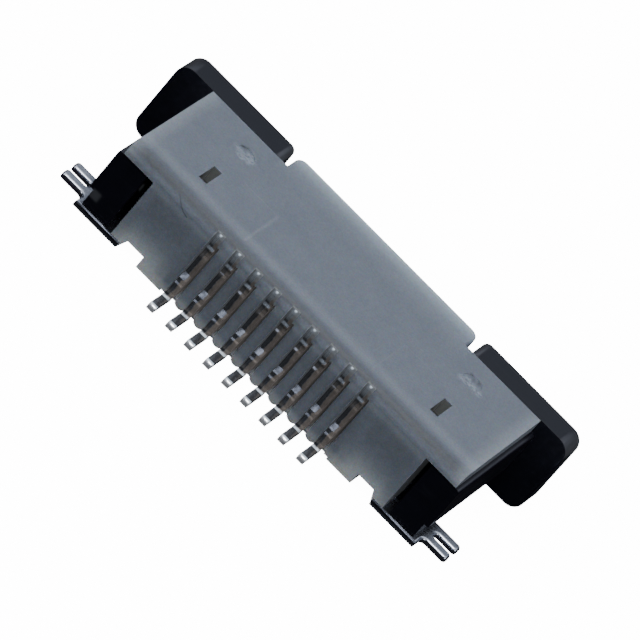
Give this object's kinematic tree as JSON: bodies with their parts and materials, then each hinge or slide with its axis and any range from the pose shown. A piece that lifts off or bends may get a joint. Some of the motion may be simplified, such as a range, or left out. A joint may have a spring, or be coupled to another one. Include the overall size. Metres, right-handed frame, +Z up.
{
  "type": "flat flexible cable connector",
  "caption": "Low right-angle surface-mount connector for a flat flexible cable, with a dark sliding lock, blade contacts and pronged solder tabs.",
  "frame": {"origin": "middle of the whole connector's footprint on the board plane, slider locked", "axes": "+X along the row of contacts, +Y out of the cable mouth (the solder tails point to -Y), +Z up from the board"},
  "size_m": [0.0208, 0.0092, 0.0038],
  "materials": {
    "housing_plastic": "moulded, satin, slightly translucent blue-grey",
    "slider_plastic": "moulded, satin black",
    "contact_metal": "bright tin plating, bare bronze tone on the blades' sides",
    "tab_metal": "bright tin plating"
  },
  "bodies": {
    "base": {"housing": "housing_plastic", "contact_1": "contact_metal", "contact_2": "contact_metal", "contact_3": "contact_metal", "contact_4": "contact_metal", "contact_5": "contact_metal", "contact_6": "contact_metal", "contact_7": "contact_metal", "contact_8": "contact_metal", "contact_9": "contact_metal", "solder_tab_left": "tab_metal", "solder_tab_right": "tab_metal"},
    "lock": {"slider": "slider_plastic"}
  },
  "joints": [
    {"name": "lock_slide", "type": "slide", "parent": "base", "child": "lock", "axis": [0, 1, 0], "range_m": [0, 0.0015]}
  ]
}
